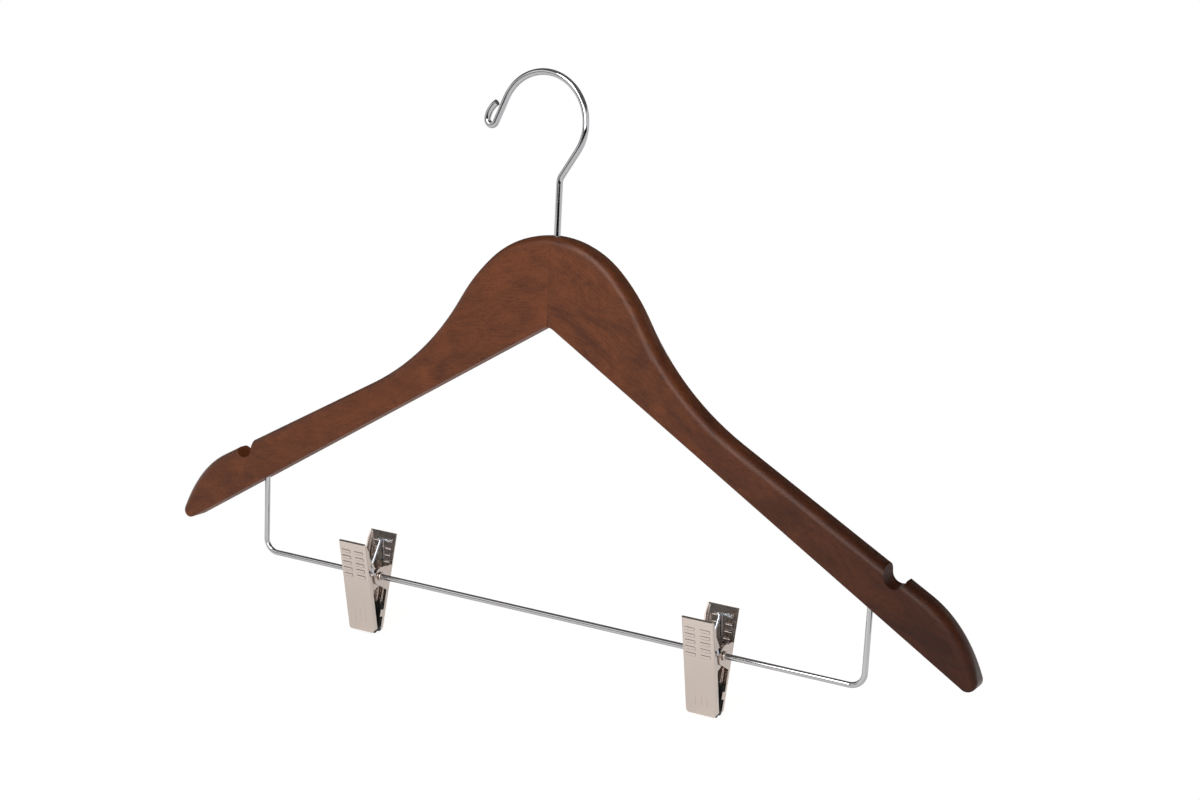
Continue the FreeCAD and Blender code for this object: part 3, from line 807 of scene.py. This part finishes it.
def lay_floor(stage):
    # White seamless paper: it reaches white round a faint shadow under the clips, and in
    # reflections its glow is painted dimmer close in, a painted shade under the hanger
    low = floor_level(stage)
    material, tree = new_material("white_paper")
    paper = add_node(tree, "ShaderNodeBsdfDiffuse", {"Color": opaque(stage.paper)})
    bounce = add_node(
        tree, "ShaderNodeEmission", {"Color": WHITE, "Strength": stage.bounce})
    lit = add_node(tree, "ShaderNodeAddShader", {0: paper.outputs[0], 1: bounce.outputs[0]})
    place = add_node(tree, "ShaderNodeTexCoord")
    axes = add_node(tree, "ShaderNodeSeparateXYZ", {"Vector": place.outputs["Object"]})
    # Painted shade in reflections: the floor's glow falls from the front to the floor under the
    # hanger
    painted_glow = add_node(
        tree, "ShaderNodeMapRange",
        {"Value": axes.outputs["Y"], "From Min": -stage.mirror_reach, "From Max": 0,
         "To Min": stage.mirror_front, "To Max": stage.mirror_under})
    looks = []
    for tint, light in (
        (stage.shadow, stage.shadow_glow),
        (stage.mirror, painted_glow.outputs["Result"]),
    ):
        shade = add_node(tree, "ShaderNodeBsdfDiffuse", {"Color": opaque(tint)})
        glow = add_node(tree, "ShaderNodeEmission", {"Color": WHITE, "Strength": light})
        look = add_node(tree, "ShaderNodeAddShader", {0: shade.outputs[0], 1: glow.outputs[0]})
        looks.append(look.outputs[0])
    paths = add_node(tree, "ShaderNodeLightPath")
    near = add_node(
        tree, "ShaderNodeMixShader",
        {0: paths.outputs["Is Glossy Ray"], 1: looks[0], 2: looks[1]})
    away = add_node(
        tree, "ShaderNodeVectorMath", {0: place.outputs["Object"], 1: (0, 0, low)},
        operation="DISTANCE")
    fade = add_node(
        tree, "ShaderNodeMapRange",
        {"Value": away.outputs["Value"], "From Min": stage.shadow_start,
         "From Max": stage.shadow_end},
        interpolation_type="SMOOTHSTEP")
    white = add_node(tree, "ShaderNodeEmission", {"Color": WHITE, "Strength": 1})
    seen = add_node(
        tree, "ShaderNodeMixShader",
        {0: fade.outputs["Result"], 1: near.outputs[0], 2: white.outputs[0]})
    mix = add_node(
        tree, "ShaderNodeMixShader",
        {0: background_rays(tree), 1: lit.outputs[0], 2: seen.outputs[0]})
    add_node(tree, "ShaderNodeOutputMaterial", {"Surface": mix.outputs[0]})
    plane(
        "floor", stage.floor_size, stage.floor_size, Matrix.Translation((0, 0, low)), material)


def hang_cards(stage):
    # Dull card, out of the picture, that shows only as dark streaks in the plated wire and sheet.
    # The card above also shades the surround.
    tones = {}
    for tone in ("black_card", "grey_card"):
        tones[tone], tree = new_material(tone)
        dull = add_node(
            tree, "ShaderNodeBsdfDiffuse", {"Color": opaque(getattr(stage, tone))})
        add_node(tree, "ShaderNodeOutputMaterial", {"Surface": dull.outputs[0]})
    floor = Vector((0, 0, floor_level(stage)))
    for card in CARDS:
        turn = Matrix.Rotation(card.side * stage.azimuth, 4, "Z")
        stand = Matrix.Rotation(math.pi / 2 if card.upright else 0, 4, "X")
        place = turn @ Matrix.Translation(floor + Vector(card.place)) @ stand
        piece = plane(card.name, card.width, card.height, place, tones[card.tone])
        only_reflected(piece)
        piece.visible_diffuse = card.shades


def hang_soft_boxes(stage):
    # White cloth of soft boxes, which shows only as the sheen on the rounded edges and on the metal
    for box in SOFT_BOXES:
        material, tree = new_material(box.name)
        cloth = add_node(
            tree, "ShaderNodeEmission",
            {"Color": WHITE, "Strength": getattr(stage, box.name)})
        add_node(tree, "ShaderNodeOutputMaterial", {"Surface": cloth.outputs[0]})
        spot = Vector(box.place)
        aim = (spot - Vector(box.aim)).to_track_quat("Z", "Y").to_matrix().to_4x4()
        only_reflected(
            plane(box.name, box.width, box.height, Matrix.Translation(spot) @ aim, material))


def light_scene(scene, stage):
    # An even surround, white where it is seen, a large soft lamp in front and a low one behind
    world = bpy.data.worlds.new("studio")
    world.use_nodes = True
    tree = world.node_tree
    tree.nodes.clear()
    dim = add_node(
        tree, "ShaderNodeBackground", {"Color": WHITE, "Strength": stage.surround})
    white = add_node(tree, "ShaderNodeBackground", {"Color": WHITE, "Strength": 1})
    mix = add_node(
        tree, "ShaderNodeMixShader",
        {0: background_rays(tree), 1: dim.outputs[0], 2: white.outputs[0]})
    add_node(tree, "ShaderNodeOutputWorld", {"Surface": mix.outputs[0]})
    scene.world = world
    for screen in LAMPS:
        lamp = bpy.data.lights.new(screen.name, "AREA")
        lamp.shape = "RECTANGLE"
        lamp.size = screen.width
        lamp.size_y = screen.height
        lamp.energy = getattr(stage, screen.name)
        spot = bpy.data.objects.new(screen.name, lamp)
        scene.collection.objects.link(spot)
        spot.location = screen.place
        aim = Vector(screen.aim) - Vector(screen.place)
        spot.rotation_euler = aim.to_track_quat("-Z", "Y").to_euler()
        spot.visible_camera = False
        spot.visible_glossy = False


def set_camera(scene, stage):
    """Place the camera on the line of sight of the photograph, for a 1200 by 800 frame."""
    sight = Vector((
        math.sin(stage.azimuth) * math.cos(stage.elevation),
        -math.cos(stage.azimuth) * math.cos(stage.elevation),
        math.sin(stage.elevation)))
    camera = bpy.data.cameras.new("camera")
    camera.sensor_width = 36
    camera.lens = stage.lens
    camera.clip_start = 0.05
    camera.clip_end = 50
    body = bpy.data.objects.new("camera", camera)
    scene.collection.objects.link(body)
    target = Vector((stage.target_x, 0, stage.target_z))
    level = (-sight).to_track_quat("-Z", "Y").to_matrix().to_4x4()
    roll = Matrix.Rotation(stage.roll, 4, "Z")
    body.matrix_world = Matrix.Translation(target + sight * stage.distance) @ level @ roll
    scene.camera = body


class HANGER_OT_stage(bpy.types.Operator):
    """Set the floor, the cards, the soft boxes, the lamps, the surround and the camera"""

    bl_idname = "hanger.stage"
    bl_label = "Set the stage"

    def execute(self, context):
        stage = context.scene.hanger_stage
        context.scene.view_settings.view_transform = "Standard"
        lay_floor(stage)
        hang_cards(stage)
        hang_soft_boxes(stage)
        light_scene(context.scene, stage)
        set_camera(context.scene, stage)
        return {"FINISHED"}


class HANGER_PT_panel(bpy.types.Panel):
    """Lists the steps that finish the hanger"""

    bl_idname = "HANGER_PT_panel"
    bl_label = "Skirt hanger"
    bl_space_type = "VIEW_3D"
    bl_region_type = "UI"
    bl_category = "Hanger"

    def draw(self, context):
        for step in STEPS:
            self.layout.operator(step.bl_idname)


GROUPS = {
    "hanger_wood": HangerWood,
    "hanger_metal": HangerMetal,
    "hanger_clip": HangerClip,
    "hanger_spring": HangerSpring,
    "hanger_pads": HangerPads,
    "hanger_stage": HangerStage,
}
STEPS = (
    HANGER_OT_wood,
    HANGER_OT_wire,
    HANGER_OT_jaws,
    HANGER_OT_springs,
    HANGER_OT_pads,
    HANGER_OT_stage,
)


def register():
    for name, group in GROUPS.items():
        bpy.utils.register_class(group)
        setattr(bpy.types.Scene, name, bpy.props.PointerProperty(type=group))
    for step in STEPS:
        bpy.utils.register_class(step)
    bpy.utils.register_class(HANGER_PT_panel)


def unregister():
    bpy.utils.unregister_class(HANGER_PT_panel)
    for step in reversed(STEPS):
        bpy.utils.unregister_class(step)
    for name, group in GROUPS.items():
        delattr(bpy.types.Scene, name)
        bpy.utils.unregister_class(group)


def main():
    register()
    bpy.ops.hanger.wood()
    bpy.ops.hanger.wire()
    bpy.ops.hanger.jaws()
    bpy.ops.hanger.springs()
    bpy.ops.hanger.pads()
    bpy.ops.hanger.stage()


if __name__ == "__main__":
    main()
